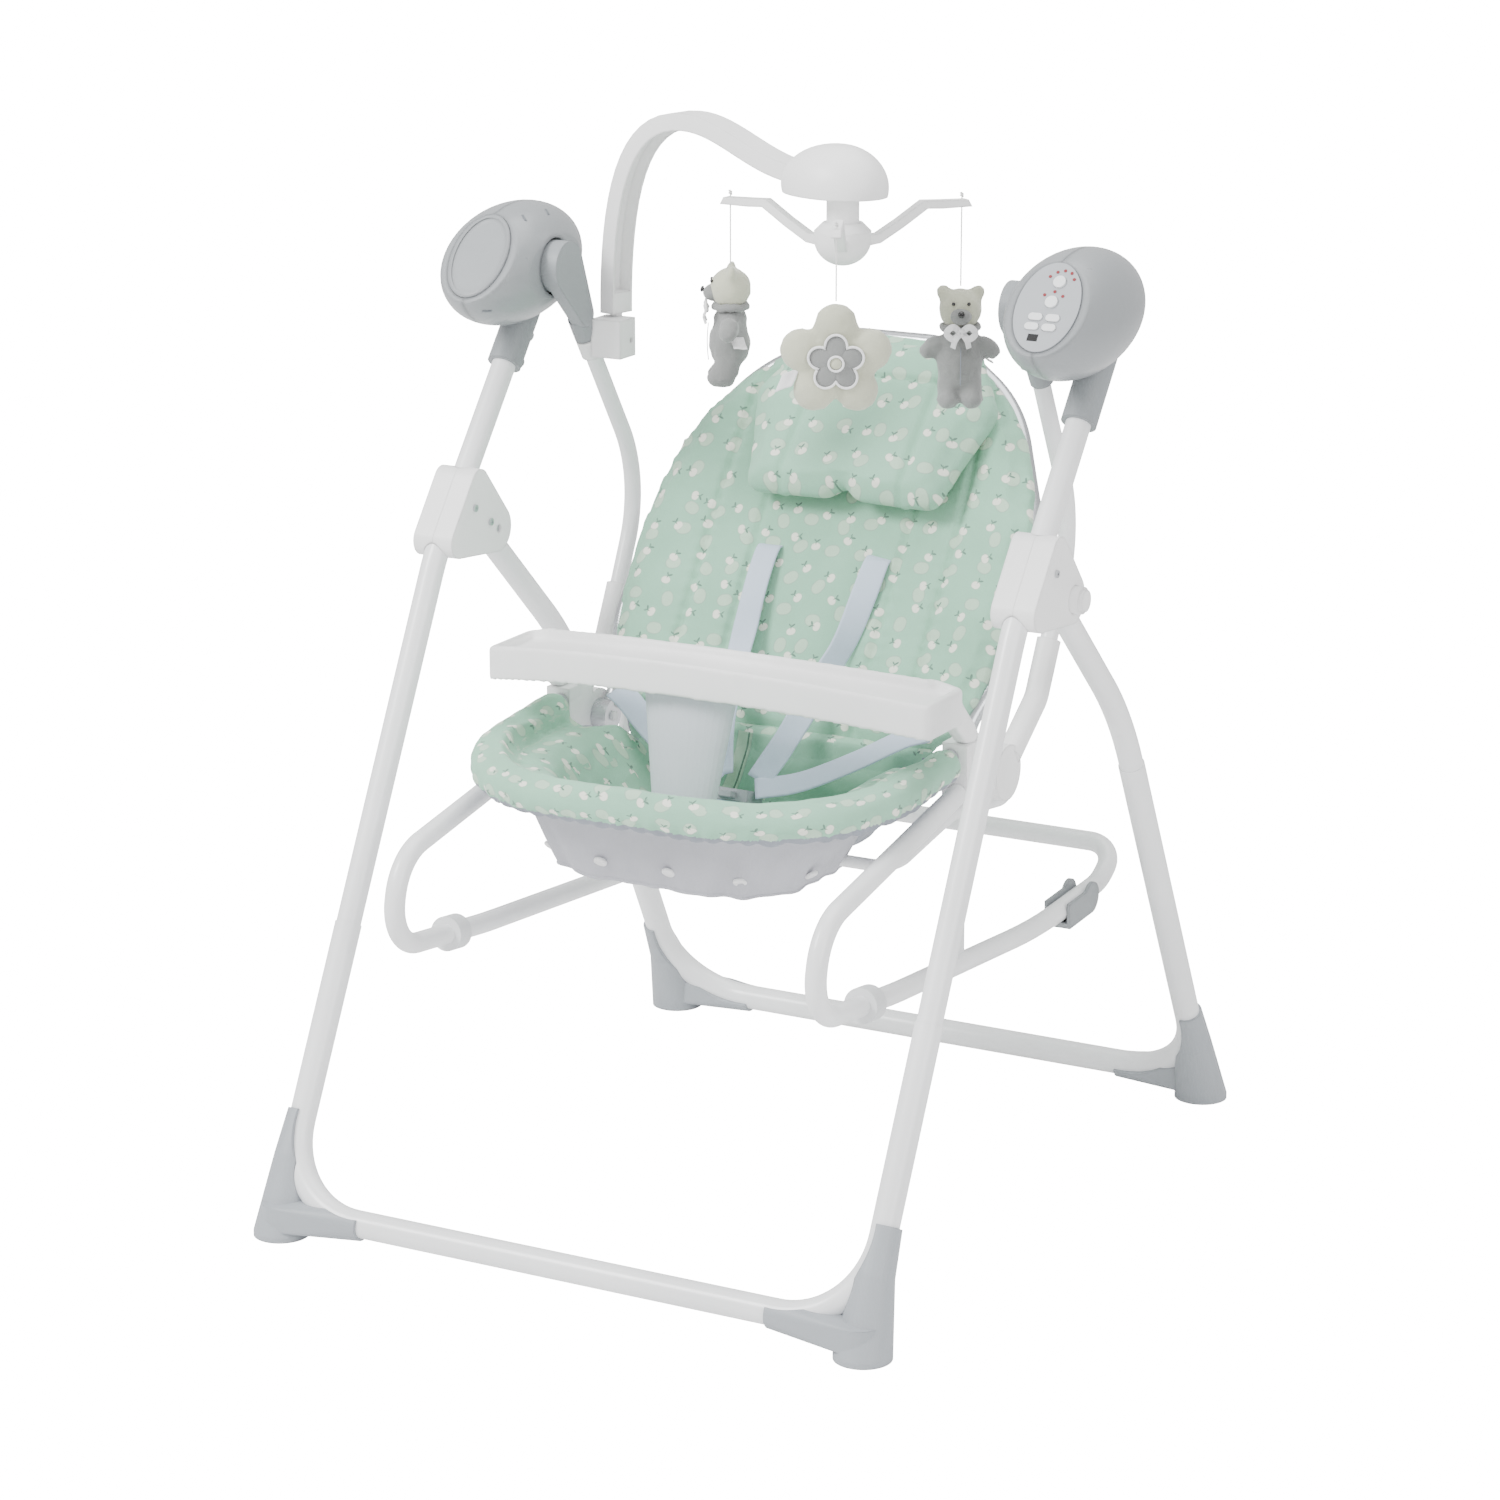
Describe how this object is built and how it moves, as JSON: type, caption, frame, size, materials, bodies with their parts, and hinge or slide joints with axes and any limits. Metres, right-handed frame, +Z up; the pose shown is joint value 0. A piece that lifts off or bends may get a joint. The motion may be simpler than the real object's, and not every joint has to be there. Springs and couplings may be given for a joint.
{
  "type": "baby swing",
  "caption": "Electric baby swing: folding white tube stand with grey drive pods, hung padded rocker seat with tray, and a toy mobile on an arched arm.",
  "frame": {"origin": "on the floor, midway between the feet", "axes": "+Z up, the front of the seat faces -Y, +X is the side of the control panel"},
  "size_m": [0.7158, 0.818, 1.0175],
  "materials": {
    "tube_white": "smooth white powder coat",
    "plastic_white": "satin white moulded plastic",
    "plastic_cool": "satin pale cool grey plastic",
    "plastic_grey": "satin light grey plastic",
    "plastic_dark": "satin mid grey plastic",
    "pod_grey": "satin grey plastic shell",
    "panel_grey": "semi-gloss grey plastic panel",
    "key_white": "semi-gloss white keys",
    "lamp_lens": "small coloured lamp lenses",
    "ring_white": "soft white rubber",
    "steel": "bright zinc plated steel",
    "magnet_dark": "dark sintered magnet and yoke",
    "copper_wire": "enamelled copper winding",
    "board_green": "printed circuit board",
    "cell_wrap": "wrapped dry cells",
    "fabric_green": "soft mint green padded fabric with a small apple print",
    "plush_grey": "soft grey plush",
    "plush_cream": "soft pale yellow-green plush",
    "cord_white": "twisted white cord"
  },
  "bodies": {
    "stand": {"front_base_tube": "tube_white", "front_leg_left": "tube_white", "front_leg_right": "tube_white", "knuckle_left": "plastic_white", "knuckle_right": "plastic_white", "fold_pins": "steel", "front_feet": "plastic_grey", "pod_sockets": "plastic_dark", "pod_inner_shells": "pod_grey", "pod_outer_shells": "pod_grey", "battery_cover": "pod_grey", "control_panel": "panel_grey", "battery_cells": "cell_wrap", "circuit_board": "board_green", "drive_coil": "copper_wire", "pivot_bushes": "plastic_white", "frame_screws": "steel", "panel_lights": "lamp_lens"},
    "fold_button_left": {"fold_button_left": "plastic_white"},
    "fold_button_right": {"fold_button_right": "plastic_white"},
    "power_key": {"power_button": "key_white"},
    "timer_key": {"timer_button": "key_white"},
    "music_key": {"music_button": "key_white"},
    "volume_key": {"volume_button": "key_white"},
    "speed_key": {"speed_button": "key_white"},
    "sound_key": {"sound_button": "key_white"},
    "swing": {"swing_levers": "plastic_dark", "swing_axles": "steel", "swing_arm_left": "tube_white", "swing_arm_right": "tube_white", "arm_sleeves": "plastic_white", "drive_magnet": "magnet_dark", "mobile_clip": "plastic_white"},
    "mobile_arm": {"mobile_arm": "plastic_white", "mobile_motor_pod": "plastic_white"},
    "mobile_rotor": {"mobile_rotor": "plastic_white"},
    "toy_flower": {"flower_string": "cord_white", "flower_toy": "plush_cream"},
    "toy_bear_right": {"bear_right_string": "cord_white", "bear_right": "plush_grey"},
    "toy_bear_left": {"bear_left_string": "cord_white", "bear_left": "plush_grey"},
    "seat": {"rocker_tube": "tube_white", "rocker_fittings": "ring_white", "seat_hubs": "plastic_white", "seat_rim_tube": "steel", "seat_bar": "tube_white", "seat_pad": "fabric_green", "harness_buckle": "plastic_grey"},
    "backrest": {"backrest_tube": "steel", "backrest_pad": "fabric_green", "head_pillow": "fabric_green"},
    "tray": {"tray": "plastic_white", "crotch_post": "plastic_cool"},
    "stopper_left": {"stopper_left": "plastic_dark"},
    "stopper_right": {"stopper_right": "plastic_dark"},
    "rear_frame": {"rear_base_tube": "tube_white", "rear_leg_left": "tube_white", "rear_leg_right": "tube_white", "rear_feet": "plastic_grey"}
  },
  "joints": [
    {"name": "frame_fold", "type": "hinge", "parent": "stand", "child": "rear_frame", "pos_m": [0, -0.008, 0.612], "axis": [-1, 0, 0], "range_deg": [0, 40]},
    {"name": "fold_button_left_push", "type": "slide", "parent": "stand", "child": "fold_button_left", "axis": [1, 0, 0], "range_m": [0, 0.003], "stiffness_N_per_m": 400},
    {"name": "fold_button_right_push", "type": "slide", "parent": "stand", "child": "fold_button_right", "axis": [-1, 0, 0], "range_m": [0, 0.003], "stiffness_N_per_m": 400},
    {"name": "power_key_press", "type": "slide", "parent": "stand", "child": "power_key", "axis": [0, 0.7848, -0.6198], "range_m": [0, 0.0015], "stiffness_N_per_m": 300},
    {"name": "timer_key_press", "type": "slide", "parent": "stand", "child": "timer_key", "axis": [0, 0.7848, -0.6198], "range_m": [0, 0.0015], "stiffness_N_per_m": 300},
    {"name": "music_key_press", "type": "slide", "parent": "stand", "child": "music_key", "axis": [0, 0.7848, -0.6198], "range_m": [0, 0.0015], "stiffness_N_per_m": 300},
    {"name": "volume_key_press", "type": "slide", "parent": "stand", "child": "volume_key", "axis": [0, 0.7848, -0.6198], "range_m": [0, 0.0015], "stiffness_N_per_m": 300},
    {"name": "speed_key_press", "type": "slide", "parent": "stand", "child": "speed_key", "axis": [0, 0.7848, -0.6198], "range_m": [0, 0.0015], "stiffness_N_per_m": 300},
    {"name": "sound_key_press", "type": "slide", "parent": "stand", "child": "sound_key", "axis": [0, 0.7848, -0.6198], "range_m": [0, 0.0015], "stiffness_N_per_m": 300},
    {"name": "swing_pivot", "type": "hinge", "parent": "stand", "child": "swing", "pos_m": [0, 0.046, 0.866], "axis": [1, 0, 0], "range_deg": [-14, 14]},
    {"name": "mobile_swivel", "type": "hinge", "parent": "swing", "child": "mobile_arm", "pos_m": [-0.225, 0.117, 0.8], "axis": [0, 0, 1], "range_deg": [-55, 0]},
    {"name": "mobile_turn", "type": "hinge", "parent": "mobile_arm", "child": "mobile_rotor", "pos_m": [0.058, 0.054, 0.95], "axis": [0, 0, 1], "continuous": true},
    {"name": "toy_flower_hang", "type": "hinge", "parent": "mobile_rotor", "child": "toy_flower", "pos_m": [0.11107, -0.06138, 0.941], "axis": [0.4179, -0.9085, 0], "range_deg": [-15, 15]},
    {"name": "toy_bear_right_hang", "type": "hinge", "parent": "mobile_rotor", "child": "toy_bear_right", "pos_m": [0.13139, 0.15765, 0.941], "axis": [0.5779, 0.8161, 0], "range_deg": [-15, 15]},
    {"name": "toy_bear_left_hang", "type": "hinge", "parent": "mobile_rotor", "child": "toy_bear_left", "pos_m": [-0.06846, 0.06573, 0.941], "axis": [-0.9957, 0.0924, 0], "range_deg": [-15, 15]},
    {"name": "seat_unhook", "type": "slide", "parent": "swing", "child": "seat", "axis": [0, -0.6, 0.8], "range_m": [0, 0.03]},
    {"name": "backrest_recline", "type": "hinge", "parent": "seat", "child": "backrest", "pos_m": [0, 0.038, 0.424], "axis": [-1, 0, 0], "range_deg": [0, 22]},
    {"name": "tray_lift", "type": "slide", "parent": "seat", "child": "tray", "axis": [0, 0, 1], "range_m": [0, 0.1]},
    {"name": "stopper_left_turn", "type": "hinge", "parent": "seat", "child": "stopper_left", "pos_m": [-0.222, 0.262, 0.2367], "axis": [1, 0, 0], "range_deg": [0, 85]},
    {"name": "stopper_right_turn", "type": "hinge", "parent": "seat", "child": "stopper_right", "pos_m": [0.222, 0.262, 0.2367], "axis": [1, 0, 0], "range_deg": [0, 85]}
  ]
}
